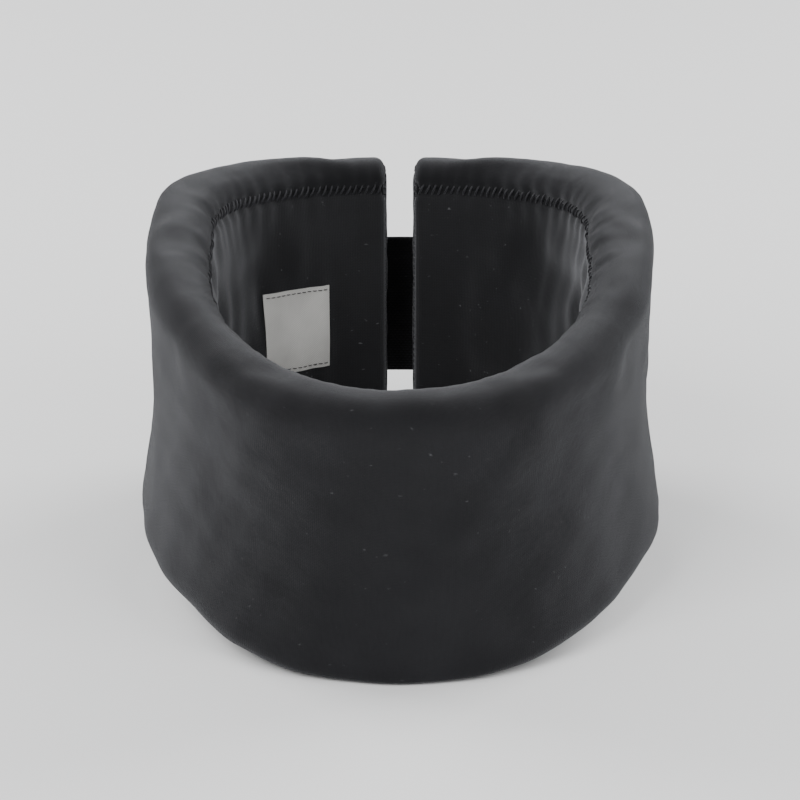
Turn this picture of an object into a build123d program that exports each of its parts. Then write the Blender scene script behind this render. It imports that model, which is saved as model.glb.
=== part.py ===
"""Soft cervical collar: a foam ring in a knitted cover, closed at the nape by a hook-and-loop strap.

Millimetres. +X is the wearer's left as seen from the front, the chin side faces -Y, +Z is up.
The origin is on the floor plane under the middle of the whole collar.
"""

from build123d import *
from math import acos, asin, degrees, sqrt
import os

os.makedirs("parts", exist_ok=True)

# --- plan of the ring: tangent arcs, given for the outer face of the cover ---
WALL = 20.0  # foam plus both covers
COVER = 1.0
FIT = 0.05  # between pieces that lie on each other
HALF_WIDTH = 80.0
HALF_DEPTH = 86.0

# --- closure: thicknesses outwards from the cover, then places along X and Z ---
PAD_THICK = 1.6
CLEAR = 0.35  # between hooks and loops
HOOK_THICK = 0.9
STRAP_THICK = 1.4
STITCH_PROUD = 0.4
PAD_STITCH_PROUD = 0.2
PAD_OUT = FIT + PAD_THICK
HOOK_IN = PAD_OUT + CLEAR
TAB_IN = HOOK_IN + HOOK_THICK + FIT
TAB_OUT = TAB_IN + STRAP_THICK
STACK = TAB_OUT + STITCH_PROUD
STRAP_Z = 51.0
STRAP_WIDE = 50.0
BASE_X = (-47.0, -7.0)
TAB_X = (-6.4, 58.0)
TIP_LONG = 9.0
HOOK_X = (12.0, 48.5)
PAD_X = (9.0, 66.0)
PAD_WIDE = 58.0
CORNER_ROUND = 5.0
THREAD = 0.9
MARGIN = 2.0  # from an edge to its row of stitching

# --- places in the plan that follow from them ---
RING_Y = -STACK / 2  # the ring sits forward by half the stack
FRONT_Y = RING_Y - (HALF_DEPTH - HALF_WIDTH)  # centre of the front half circle
BACK_R = 98.0
BACK_Y = RING_Y + HALF_DEPTH - BACK_R
CORNER_R = 60.0
CORNER_X = HALF_WIDTH - CORNER_R
CORNER_Y = BACK_Y + sqrt((BACK_R - CORNER_R) ** 2 - CORNER_X**2)
CORNER_TURN = degrees(acos(CORNER_X / (BACK_R - CORNER_R)))

# --- side view: heights above the floor, at places along Y ---
SINK = 0.9  # the rounded lower edge is pressed this far into a small flat
CHIN_TOP = 87.5
SIDE_TOP = 116.0
NAPE_TOP = 101.0
DIP_Y = -52.0  # chin dip turns into the crown of the side here
DIP_Z = 99.5
CROWN_Y = 12.0
ARCH_Y = -16.0  # crest of the arched lower edge
ARCH_TOP = 14.0
TOE_Z = -7.6  # where the arch would meet the front face, before the edge is rounded
HEEL_R = 110.0  # arch radius behind the crest
HEEL_BLEND_R = 40.0  # into the flat stretch under the nape
REACH = 110.0  # past the ring on every side
BELOW = -15.0  # the rough ring starts under the toe
HEIGHT = 150.0
EDGE_R = 8.5

# --- flex lines and the opening at the nape ---
FLEX_Y = RING_Y + 8.0
FLEX_GAP = 0.3
NAPE_GAP = 12.0
FACING = 1.0

# --- seams, on the inside face ---
SEAM_DROP = 10.0
SEAM_WIDE = 1.4
SEAM_PROUD = 0.6

# --- care label, inside the left half ---
LABEL_X = (-46.0, -24.0)
LABEL_Z = 56.0
LABEL_TALL = 30.0
LABEL_THICK = 0.5
LABEL_OUT = -WALL - FIT
LABEL_IN = LABEL_OUT - LABEL_THICK
LABEL_STITCH_PROUD = 0.3


def oval(grow):
    """Plan outline of the ring, moved outwards by grow."""
    with BuildSketch() as plan:
        with BuildLine():
            CenterArc((0, FRONT_Y), HALF_WIDTH + grow, 180, 180)
            Line((HALF_WIDTH + grow, FRONT_Y), (HALF_WIDTH + grow, CORNER_Y))
            CenterArc((CORNER_X, CORNER_Y), CORNER_R + grow, 0, CORNER_TURN)
            CenterArc((0, BACK_Y), BACK_R + grow, CORNER_TURN, 180 - 2 * CORNER_TURN)
            CenterArc((-CORNER_X, CORNER_Y), CORNER_R + grow, 180 - CORNER_TURN, CORNER_TURN)
            Line((-HALF_WIDTH - grow, CORNER_Y), (-HALF_WIDTH - grow, FRONT_Y))
        make_face()
    return plan.sketch


def side_view(inset):
    """Side outline between the lower and the upper edge, drawn in from both by inset."""
    toe_run = HALF_DEPTH - RING_Y + ARCH_Y
    toe_r = (toe_run**2 + (ARCH_TOP - TOE_Z) ** 2) / 2 / (ARCH_TOP - TOE_Z)
    toe_turn = degrees(asin((REACH + ARCH_Y) / toe_r))
    blend_z = HEEL_BLEND_R - SINK
    heel_run = sqrt((HEEL_R + HEEL_BLEND_R) ** 2 - (blend_z + HEEL_R - ARCH_TOP) ** 2)
    heel_turn = degrees(asin(heel_run / (HEEL_R + HEEL_BLEND_R)))
    with BuildSketch(Plane.YZ) as side:
        with BuildLine():
            crown = ThreePointArc((DIP_Y, DIP_Z), (CROWN_Y, SIDE_TOP), (REACH, NAPE_TOP - 4))
            dip = TangentArc((DIP_Y, DIP_Z), (-REACH, CHIN_TOP), tangent=-(crown % 0))
            toe = CenterArc((ARCH_Y, ARCH_TOP - toe_r), toe_r, 90, toe_turn)
            CenterArc((ARCH_Y, ARCH_TOP - HEEL_R), HEEL_R, 90, -heel_turn)
            heel = CenterArc((ARCH_Y + heel_run, blend_z), HEEL_BLEND_R, 270, -heel_turn)
            Line(dip @ 1, toe @ 1)
            Polyline(heel @ 0, (REACH, -SINK), crown @ 1)
        make_face()
        offset(amount=-inset, mode=Mode.REPLACE)
    return side.sketch


def wall(outer, inner, mode=Mode.ADD):
    """Upright wall between two plan outlines, for the part that is open."""
    with BuildSketch(Plane.XY.offset(BELOW), mode=Mode.PRIVATE) as plan:
        add(oval(outer))
        add(oval(inner), mode=Mode.SUBTRACT)
    extrude(plan.sketch, amount=HEIGHT, mode=mode)


def between_edges(inset, mode=Mode.INTERSECT):
    """Keeps, or takes away, what lies between the lower and the upper edge."""
    extrude(side_view(inset), amount=REACH, both=True, mode=mode)


def crop(xs, ys, mode=Mode.INTERSECT):
    """Keeps what stands over a rectangle of the plan."""
    with BuildSketch(Plane.XY.offset(BELOW), mode=Mode.PRIVATE) as zone:
        with Locations(((xs[0] + xs[1]) / 2, (ys[0] + ys[1]) / 2)):
            Rectangle(xs[1] - xs[0], ys[1] - ys[0])
    extrude(zone.sketch, amount=HEIGHT, mode=mode)


def seen_from_behind(xs, z, tall, radius):
    """Face of a patch as seen from behind, on a plane outside the ring."""
    with BuildSketch(Plane.XZ.offset(-REACH)) as face:
        with Locations(((xs[0] + xs[1]) / 2, z)):
            if radius > 0:
                RectangleRounded(xs[1] - xs[0], tall, radius)
            else:
                Rectangle(xs[1] - xs[0], tall)
    return face.sketch


def cut_patch(xs, z, tall, radius=0.0, mode=Mode.INTERSECT):
    """Keeps, or takes away, a patch's face through the rear half of the ring."""
    extrude(seen_from_behind(xs, z, tall, radius), amount=REACH - CROWN_Y, mode=mode)


def shrunk(xs, by):
    return xs[0] + by, xs[1] - by


def write(name, piece):
    piece.part.label = name
    export_step(piece.part, f"parts/{name}.step")


def rounded_ring(inset):
    """The whole ring with rounded edges, every face moved in by inset."""
    with BuildPart() as body:
        wall(-inset, inset - WALL)
        between_edges(inset)
        rims = body.edges().filter_by(Axis.Z, reverse=True).filter_by(Axis.X, reverse=True)
        fillet(rims, radius=EDGE_R - inset)
        with BuildSketch(Plane.XY.offset(inset)):
            Rectangle(2 * REACH, 2 * REACH)
        extrude(amount=HEIGHT, mode=Mode.INTERSECT)
    return body.part


# --- the whole ring's layers, before they are cut to length ---
body_ring = rounded_ring(0)
core_ring = rounded_ring(COVER + FIT)

with BuildPart() as inner_wall:
    wall(COVER / 2 + COVER - WALL, -COVER - WALL)
    between_edges(SEAM_DROP - SEAM_WIDE)

with BuildPart() as cover_ring:
    add(body_ring)
    add(rounded_ring(COVER), mode=Mode.SUBTRACT)
    add(inner_wall.part, mode=Mode.SUBTRACT)

with BuildPart() as lining_ring:
    wall(COVER - WALL, -WALL)
    between_edges(SEAM_DROP)

with BuildPart() as seam_ring:
    wall(COVER - WALL, -SEAM_PROUD - WALL)
    between_edges(SEAM_DROP - SEAM_WIDE)
    between_edges(SEAM_DROP, mode=Mode.SUBTRACT)

END_X = NAPE_GAP / 2
WING_Y = (FLEX_Y + FLEX_GAP / 2, REACH)
ZONES = {
    "front": ((-REACH, REACH), (-REACH, FLEX_Y - FLEX_GAP / 2)),
    "left": ((-REACH, -END_X - FACING - FIT), WING_Y),
    "right": ((END_X + FACING + FIT, REACH), WING_Y),
}
ENDS = {"left": (-END_X - FACING, -END_X), "right": (END_X, END_X + FACING)}

# --- foam, cover, lining and seams, in three lengths that meet at the flex lines ---
for side, zone in ZONES.items():
    with BuildPart() as foam:
        add(core_ring)
        crop(*zone)
    write(f"foam_{side}", foam)

    with BuildPart() as outer_cover:
        add(cover_ring.part)
        crop(*zone)
    write(f"outer_cover_{side}", outer_cover)

    with BuildPart() as inner_lining:
        add(lining_ring.part)
        crop(*zone)
    write(f"inner_lining_{side}", inner_lining)

    with BuildPart() as top_seam:
        add(seam_ring.part)
        crop(*zone)
        split(bisect_by=Plane.XY.offset(STRAP_Z), keep=Keep.TOP)
    write(f"top_seam_{side}", top_seam)

    with BuildPart() as bottom_seam:
        add(seam_ring.part)
        crop(*zone)
        split(bisect_by=Plane.XY.offset(STRAP_Z), keep=Keep.BOTTOM)
    write(f"bottom_seam_{side}", bottom_seam)

# --- fabric facings that close the cover at the nape ---
for side, xs in ENDS.items():
    with BuildPart() as end_facing:
        add(body_ring)
        crop(xs, (CROWN_Y, REACH))
    write(f"end_facing_{side}", end_facing)

# --- loop pad on the right end ---
with BuildPart() as loop_pad:
    wall(PAD_OUT, FIT)
    cut_patch(PAD_X, STRAP_Z, PAD_WIDE, CORNER_ROUND)
write("loop_pad", loop_pad)

with BuildPart() as loop_pad_stitching:
    wall(PAD_OUT + PAD_STITCH_PROUD, PAD_OUT)
    cut_patch(shrunk(PAD_X, 1), STRAP_Z, PAD_WIDE - 2)
    cut_patch(shrunk(PAD_X, 1 + THREAD), STRAP_Z, PAD_WIDE - 2 - 2 * THREAD, mode=Mode.SUBTRACT)
write("loop_pad_stitching", loop_pad_stitching)

# --- strap: backing patch and sewn end on the left half ---
with BuildPart() as strap_patch:
    wall(TAB_IN - FIT, FIT)
    cut_patch(BASE_X, STRAP_Z, STRAP_WIDE)
write("strap_patch", strap_patch)

with BuildPart() as strap_base:
    wall(TAB_OUT, TAB_IN)
    cut_patch(BASE_X, STRAP_Z, STRAP_WIDE)
write("strap_base", strap_base)

BOX_X = shrunk(BASE_X, MARGIN + 1)
BOX_TALL = STRAP_WIDE - 2 * MARGIN - 2
with BuildPart() as strap_stitching:
    wall(STACK, TAB_OUT)
    cut_patch(BOX_X, STRAP_Z, BOX_TALL)
    with BuildSketch(Plane.XZ.offset(-REACH), mode=Mode.PRIVATE) as box_seam:
        with Locations(((BOX_X[0] + BOX_X[1]) / 2, STRAP_Z)):
            Rectangle(BOX_X[1] - BOX_X[0], BOX_TALL)
            Rectangle(BOX_X[1] - BOX_X[0] - 2 * THREAD, BOX_TALL - 2 * THREAD, mode=Mode.SUBTRACT)
        for way in (-1, 1):
            with BuildLine():
                Line((BOX_X[0], STRAP_Z - way * BOX_TALL / 2), (BOX_X[1], STRAP_Z + way * BOX_TALL / 2))
            trace(line_width=THREAD)
    extrude(box_seam.sketch, amount=REACH - CROWN_Y, mode=Mode.INTERSECT)
write("strap_stitching", strap_stitching)

# --- the strap's free part ---
TIP_X = (TAB_X[1] - TIP_LONG, TAB_X[1])
with BuildPart() as closure_tab:
    wall(TAB_OUT, TAB_IN)
    cut_patch((TAB_X[0], TIP_X[0]), STRAP_Z, STRAP_WIDE)
write("closure_tab", closure_tab)

with BuildPart() as tab_tip:
    wall(TAB_OUT, HOOK_IN)
    cut_patch((TIP_X[0] - 2 * CORNER_ROUND, TIP_X[1]), STRAP_Z, STRAP_WIDE, CORNER_ROUND)
    cut_patch(TIP_X, STRAP_Z, STRAP_WIDE)
write("tab_tip", tab_tip)

with BuildPart() as hook_patch:
    wall(TAB_IN - FIT, HOOK_IN)
    cut_patch(HOOK_X, STRAP_Z, STRAP_WIDE - 2 * MARGIN)
write("hook_patch", hook_patch)

with BuildPart() as hook_stitching:
    wall(STACK, TAB_OUT)
    cut_patch(shrunk(HOOK_X, 1), STRAP_Z, STRAP_WIDE - 3 * MARGIN)
    cut_patch(shrunk(HOOK_X, 1 + THREAD), STRAP_Z, STRAP_WIDE - 3 * MARGIN - 2 * THREAD, mode=Mode.SUBTRACT)
write("hook_stitching", hook_stitching)

# --- care label ---
with BuildPart() as care_label:
    wall(LABEL_OUT, LABEL_IN)
    cut_patch(LABEL_X, LABEL_Z, LABEL_TALL)
write("care_label", care_label)

with BuildPart() as care_label_stitching:
    wall(LABEL_IN, LABEL_IN - LABEL_STITCH_PROUD)
    cut_patch(LABEL_X, LABEL_Z, LABEL_TALL - MARGIN)
    cut_patch(LABEL_X, LABEL_Z, LABEL_TALL - MARGIN - 2 * THREAD, mode=Mode.SUBTRACT)
write("care_label_stitching", care_label_stitching)
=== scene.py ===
"""Soft cervical collar, as cloth: knitted cover and lining over a foam core, overlocked seams,
a hook-and-loop strap at the nape and a blank care label. Metres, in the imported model's frame."""
import math
import bmesh
import bpy
import numpy as np
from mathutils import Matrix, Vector


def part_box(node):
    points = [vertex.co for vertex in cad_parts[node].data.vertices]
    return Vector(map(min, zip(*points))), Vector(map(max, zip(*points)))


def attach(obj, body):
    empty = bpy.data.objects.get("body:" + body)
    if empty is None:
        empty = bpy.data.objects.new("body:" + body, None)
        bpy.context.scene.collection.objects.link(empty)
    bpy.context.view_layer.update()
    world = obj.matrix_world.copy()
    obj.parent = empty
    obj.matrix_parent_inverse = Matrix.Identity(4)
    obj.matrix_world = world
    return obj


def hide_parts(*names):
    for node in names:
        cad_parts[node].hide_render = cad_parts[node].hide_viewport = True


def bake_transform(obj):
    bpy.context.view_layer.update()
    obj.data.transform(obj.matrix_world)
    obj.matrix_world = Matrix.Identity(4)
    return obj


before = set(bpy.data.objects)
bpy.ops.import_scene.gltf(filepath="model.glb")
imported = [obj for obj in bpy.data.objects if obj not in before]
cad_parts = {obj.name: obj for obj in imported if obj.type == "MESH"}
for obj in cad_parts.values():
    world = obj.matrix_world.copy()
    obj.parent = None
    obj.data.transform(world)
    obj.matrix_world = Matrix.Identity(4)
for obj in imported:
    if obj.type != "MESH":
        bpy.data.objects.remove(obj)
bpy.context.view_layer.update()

MM = 0.001
UP = np.array([0.0, 0.0, 1.0])

# ---------------------------------------------------------------- plan of the ring, from the frame
WALL = 20 * MM
HALF_DEPTH = 86 * MM
BACK_R = 98 * MM
CORNER_R = 60 * MM
front_low, front_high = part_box("outer_cover_front")
wing_low, wing_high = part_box("outer_cover_left")
HALF_WIDTH = front_high[0]
RING_Y = front_low[1] + HALF_DEPTH
FRONT_Y = RING_Y - (HALF_DEPTH - HALF_WIDTH)
BACK_Y = RING_Y + HALF_DEPTH - BACK_R
CORNER_X = HALF_WIDTH - CORNER_R
CORNER_Y = BACK_Y + math.sqrt((BACK_R - CORNER_R) ** 2 - CORNER_X ** 2)
CORNER_TURN = math.acos(CORNER_X / (BACK_R - CORNER_R))
FLEX_Y = (front_high[1] + wing_low[1]) / 2
END_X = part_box("end_facing_right")[0][0]

# ---------------------------------------------------------------- side view: heights along Y
SIDE_TOP = wing_high[2]
DIP = (-52 * MM, 99.5 * MM)
CROWN = (12 * MM, SIDE_TOP - 0.5 * MM)
NAPE = (110 * MM, 97 * MM)
CHIN = (-110 * MM, 87.5 * MM)
ARCH = (-16 * MM, 14 * MM)
TOE = (RING_Y - HALF_DEPTH, -7.6 * MM)
HEEL_R = 110 * MM
HEEL_BLEND_R = 40 * MM
SINK = 0.9 * MM

# ---------------------------------------------------------------- soft section
ROLL = WALL / 2  # height of the rounded top and bottom
SQUARE = 0.86  # under 1, the roll is squarer than a half circle
SHEET = 0.9 * MM
END_ROUND = 3.2 * MM
CHIN_LIFT = 3.4 * MM  # how much higher the soft rim stands under the chin
CHIN_LIFT_RUN = (35 * MM, 80 * MM)  # forwards from the ring's middle, where that lift grows
SKIRT_FLARE = 5.4 * MM
SKIRT_REACH = 19 * MM
TOP_FLARE = 0.8 * MM
TOP_REACH = 14 * MM
WAIST_IN = 1.5 * MM
WAIST_REACH = 24 * MM
CALM_RUN = (30 * MM, 62 * MM)  # along Y, where the flares and most of the waves die away towards the nape
FOAM_INSET = 3.0 * MM

# relief of the sewn cloth: heights in millimetres, lengths in metres
GROOVE_HEIGHT = -1.5
GROOVE_WIDTH = 2.0 * MM
PUCKER_HEIGHT = 0.34
PUCKER_REACH = 5.5 * MM
PUCKER_PITCH = 6.3 * MM
SWELL_HEIGHT = 0.5
SWELL_SIZE = 46 * MM
RIPPLE_HEIGHT = 0.22
RIPPLE_SIZE = 17 * MM
LINING_FOLD_HEIGHT = 0.55
LINING_FOLD_SIZE = 15 * MM
CREASE_HEIGHT = 0.7
CREASE_PITCH = 13 * MM
CREASE_REACH = 26 * MM
FOLD_GAIN = 1.2
ROUND_LENGTH = 30 * MM  # of the cloth over a rounded edge
FLAT_LENGTH = 76 * MM  # of the cloth on a flat side


class Path:
    """Tangent arcs and lines of the ring's outer outline, followed by the length of the wall's middle."""

    def __init__(self, runs):
        pts, outs = [], []
        for run in runs:
            t = np.linspace(0, 1, 400)[:, None]
            if run[0] == "arc":
                _, centre, radius, start, end = run
                a = start + (end - start) * t
                out = np.hstack([np.cos(a), np.sin(a)])
                pts.append(np.array(centre) + radius * out)
            else:
                _, start, end, side = run
                out = np.tile(np.array(side, float), (len(t), 1))
                pts.append(np.array(start) * (1 - t) + np.array(end) * t)
            outs.append(out)
        self.base = np.vstack(pts)
        self.out = np.vstack(outs)
        mid = self.base - self.out * WALL / 2
        step = np.linalg.norm(np.diff(mid, axis=0), axis=1)
        self.s = np.concatenate([[0], np.cumsum(step)])
        self.length = self.s[-1]

    def at(self, s):
        """Outer points and outward directions; past the ends the path runs on straight."""
        s = np.asarray(s, float)
        inside = np.clip(s, 0, self.length)
        base = np.stack([np.interp(inside, self.s, self.base[:, k]) for k in (0, 1)], -1)
        out = np.stack([np.interp(inside, self.s, self.out[:, k]) for k in (0, 1)], -1)
        out /= np.linalg.norm(out, axis=-1, keepdims=True)
        ahead = np.stack([-out[..., 1], out[..., 0]], -1) * self.way
        return base + ahead * (s - inside)[..., None], out

    @property
    def way(self):
        d = self.base[1] - self.base[0]
        o = self.out[0]
        return 1.0 if (-o[1] * d[0] + o[0] * d[1]) > 0 else -1.0

    def where(self, axis, value, low, high):
        """Length along the path, between low and high, at which the outer outline reaches a coordinate."""
        s = np.linspace(low, high, 2000)
        return s[np.argmin(np.abs(self.at(s)[0][:, axis] - value))]


QUARTER = math.pi / 2
END_TURN = math.asin(END_X / BACK_R)
ring = Path([
    ("arc", (0, BACK_Y), BACK_R, QUARTER + END_TURN, math.pi - CORNER_TURN),
    ("arc", (-CORNER_X, CORNER_Y), CORNER_R, math.pi - CORNER_TURN, math.pi),
    ("line", (-HALF_WIDTH, CORNER_Y), (-HALF_WIDTH, FRONT_Y), (-1, 0)),
    ("arc", (0, FRONT_Y), HALF_WIDTH, math.pi, 2 * math.pi),
    ("line", (HALF_WIDTH, FRONT_Y), (HALF_WIDTH, CORNER_Y), (1, 0)),
    ("arc", (CORNER_X, CORNER_Y), CORNER_R, 0, CORNER_TURN),
    ("arc", (0, BACK_Y), BACK_R, CORNER_TURN, QUARTER - END_TURN),
])
nape = Path([
    ("arc", (-CORNER_X, CORNER_Y), CORNER_R, math.pi, math.pi - CORNER_TURN),
    ("arc", (0, BACK_Y), BACK_R, math.pi - CORNER_TURN, CORNER_TURN),
    ("arc", (CORNER_X, CORNER_Y), CORNER_R, CORNER_TURN, 0),
])


def circle_through(a, b, c):
    (ax, ay), (bx, by), (cx, cy) = a, b, c
    d = 2 * (ax * (by - cy) + bx * (cy - ay) + cx * (ay - by))
    aa, bb, cc = ax * ax + ay * ay, bx * bx + by * by, cx * cx + cy * cy
    x = (aa * (by - cy) + bb * (cy - ay) + cc * (ay - by)) / d
    y = (aa * (cx - bx) + bb * (ax - cx) + cc * (bx - ax)) / d
    return x, y, math.hypot(ax - x, ay - y)


def arc_height(radius, away):
    """How far an arc stands off its centre's level, at a distance from the centre along Y."""
    return np.sqrt(np.maximum(radius ** 2 - away ** 2, 1e-9))


def upper_edge(y):
    """Height of the collar's top along Y: a dip for the chin, then the crown of the side."""
    cx, cz, r = circle_through(DIP, CROWN, NAPE)
    crown = cz + arc_height(r, y - cx)
    n = np.array([DIP[0] - cx, DIP[1] - cz]) / r
    d = np.array(CHIN) - np.array(DIP)
    rr = (d @ d) / (2 * (n @ d))
    dip = DIP[1] + n[1] * rr - np.sign(rr) * arc_height(rr, y - DIP[0] - n[0] * rr)
    return np.where(y > DIP[0], crown, dip)


def lower_edge(y):
    """Height of the collar's bottom along Y: toe, arch, heel and the flat under the nape."""
    rise = ARCH[1] - TOE[1]
    toe_r = ((ARCH[0] - TOE[0]) ** 2 + rise ** 2) / 2 / rise
    toe = ARCH[1] - toe_r + arc_height(toe_r, y - ARCH[0])
    heel = ARCH[1] - HEEL_R + arc_height(HEEL_R, y - ARCH[0])
    blend_z = HEEL_BLEND_R - SINK
    reach = HEEL_R + HEEL_BLEND_R
    run = math.sqrt(reach ** 2 - (blend_z + HEEL_R - ARCH[1]) ** 2)
    blend_y = ARCH[0] + run
    turn_y = ARCH[0] + run * HEEL_R / reach
    blend = blend_z - arc_height(HEEL_BLEND_R, y - blend_y)
    z = np.where(y < ARCH[0], toe, heel)
    z = np.where(y > turn_y, blend, z)
    return np.where(y > blend_y, -SINK, z)


def smooth(x, low, high):
    """From 0 at low to 1 at high, level at both ends."""
    t = np.clip((x - low) / (high - low), 0, 1)
    return t * t * (3 - 2 * t)


def bell(x, width):
    """A soft bump, 1 at zero and about 0 beyond twice the width."""
    return np.exp(-((x / width) ** 2))


def fade(x, reach):
    """From 1 at zero, dying away over about the given length."""
    return np.exp(-np.maximum(x, 0) / reach)


def waves(p, size, seed, count=28, spread=0.45):
    """Smooth random field over points p, with features of about the given size, from -1 to 1."""
    rng = np.random.default_rng(seed)
    total = np.zeros(p.shape[:-1])
    for _ in range(count):
        way = rng.normal(size=3)
        way *= 2 * math.pi / (np.linalg.norm(way) * size * (1 + spread * rng.uniform(-1, 1)))
        total += np.cos(p @ way + rng.uniform(0, 2 * math.pi))
    return total / math.sqrt(count) * 0.75


# ---------------------------------------------------------------- the wall's surface
# q runs round the section: 0-1 over the top, 1-2 down the outside, 2-3 under, 3-4 up the inside
def section(q, half, tall):
    """Distance outwards from the outer outline and height above the lower edge."""
    q = q + 0 * tall
    along = q % 1.0
    turn = np.pi * along
    bow = np.abs(np.sin(turn)) ** SQUARE
    swing = np.sign(np.cos(turn)) * np.abs(np.cos(turn)) ** SQUARE
    mid = -WALL / 2
    climb = (tall - 2 * half) * along
    parts = [np.floor(q + 1e-9).astype(int) == part for part in range(3)]
    n = np.select(parts, [mid - half * swing, mid + half, mid + half * swing], mid - half)
    z = np.select(parts, [tall - half + half * bow, tall - half - climb, half - half * bow], half + climb)
    return n, z


def wall_points(s, q, inset=0.0):
    """Points of the wall at lengths s (column) and section places q (row)."""
    s = np.asarray(s, float).reshape(-1, 1)
    q = np.asarray(q, float).reshape(1, -1)
    inset = np.asarray(inset, float).reshape(-1, 1) + 0 * s
    base, out = ring.at(s[:, 0])
    mid_y = (base[:, 1] - out[:, 1] * WALL / 2)[:, None]
    low, high = lower_edge(mid_y) + inset, upper_edge(mid_y) - inset
    tall = high - low
    n, z = section(q, WALL / 2 - inset, tall)
    xy = base[:, None, :] + out[:, None, :] * n[..., None]
    share = z / tall
    slope_high = upper_edge(xy[..., 1]) - upper_edge(mid_y)
    slope_low = lower_edge(xy[..., 1]) - lower_edge(mid_y)
    z = low + z + slope_high * share + slope_low * (1 - share)
    return np.concatenate([xy, z[..., None]], -1)


def grid_normals(p):
    du = np.gradient(p, axis=0)
    dv = np.gradient(p, axis=1)
    n = np.cross(du, dv)
    return n / np.maximum(np.linalg.norm(n, axis=-1, keepdims=True), 1e-12)


SIM_ROWS = 132
SIM_COLS = 48
SIM_FRAMES = 24
SMOOTHINGS = 14  # passes that make the local average the folds are measured from
FOLD_CAP = 1.1 * MM


def sewn_cover_folds():
    """Cloth simulation of the whole sewn cover, cut a little too large for its foam and held at the seams
    and ends. Returns how far the cloth stands off its own average, along the normal, over s and q."""
    s = np.linspace(0, ring.length, SIM_ROWS)
    q = np.linspace(0, 4, SIM_COLS, endpoint=False)
    rest = wall_points(s, q)
    normal = -grid_normals(rest)
    cloth_obj = new_object("cover_cloth", rest.reshape(-1, 3), tube_faces(SIM_ROWS, SIM_COLS))
    core = wall_points(s, q, 1.2 * MM)
    foam_obj = new_object("foam_cloth_rests_on", core.reshape(-1, 3), tube_faces(SIM_ROWS, SIM_COLS))
    foam_obj.modifiers.new("solid", "COLLISION")
    foam_obj.collision.thickness_outer = 0.5 * MM
    held = np.zeros((SIM_ROWS, SIM_COLS), bool)
    held[:, 0] = held[:, SIM_COLS * 3 // 4] = True
    held[:2] = held[-2:] = True
    group = cloth_obj.vertex_groups.new(name="sewn")
    group.add([int(i) for i in np.flatnonzero(held)], 1.0, "REPLACE")
    mod = cloth_obj.modifiers.new("cloth", "CLOTH")
    sim = mod.settings
    sim.quality = 6
    sim.mass = 0.2
    sim.tension_stiffness = sim.compression_stiffness = 18
    sim.shear_stiffness = 6
    sim.bending_stiffness = 0.4
    sim.vertex_group_mass = "sewn"
    sim.shrink_min = sim.shrink_max = -0.045
    sim.use_pressure = True
    sim.uniform_pressure_force = 1.5
    sim.effector_weights.gravity = 0
    mod.collision_settings.use_collision = False
    mod.point_cache.frame_start = 1
    mod.point_cache.frame_end = SIM_FRAMES
    scene = bpy.context.scene
    for frame_number in range(1, SIM_FRAMES + 1):
        scene.frame_set(frame_number)
    done = cloth_obj.evaluated_get(bpy.context.evaluated_depsgraph_get()).data
    off = ((read(done.vertices, "co").reshape(rest.shape) - rest) * normal).sum(-1)
    scene.frame_set(1)
    for obj in (cloth_obj, foam_obj):
        bpy.data.objects.remove(obj)
    if not np.isfinite(off).all():
        return np.zeros_like(off)
    average = off.copy()
    for _ in range(SMOOTHINGS):
        across = (np.roll(average, 1, 1) + average + np.roll(average, -1, 1)) / 3
        along = np.pad(across, ((1, 1), (0, 0)), mode="edge")
        average = (along[:-2] + along[1:-1] + along[2:]) / 3
    fold = off - average
    return FOLD_CAP * np.tanh(fold / FOLD_CAP)


FOLDS = None


def fold_at(s, q):
    """The simulated folds at lengths s and section places q, read smoothly from the coarse cloth."""
    if FOLDS is None:
        return np.zeros((len(s), len(q)))
    row = np.clip(np.asarray(s, float) / ring.length * (SIM_ROWS - 1), 0, SIM_ROWS - 1)
    col = (np.asarray(q, float) % 4) / 4 * SIM_COLS

    def weights(place):
        f = place - np.floor(place)
        return [(1 - f) ** 3 / 6, (3 * f ** 3 - 6 * f ** 2 + 4) / 6,
                (-3 * f ** 3 + 3 * f ** 2 + 3 * f + 1) / 6, f ** 3 / 6]

    total = np.zeros((len(row), len(col)))
    for i, wi in zip((-1, 0, 1, 2), weights(row)):
        r = np.clip(np.floor(row).astype(int) + i, 0, SIM_ROWS - 1)
        for j, wj in zip((-1, 0, 1, 2), weights(col)):
            c = (np.floor(col).astype(int) + j) % SIM_COLS
            total += wi[:, None] * wj[None, :] * FOLDS[r[:, None], c[None, :]]
    return total


FEW_ROWS = 20
CLEAR_OF_END = 20 * MM


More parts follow.
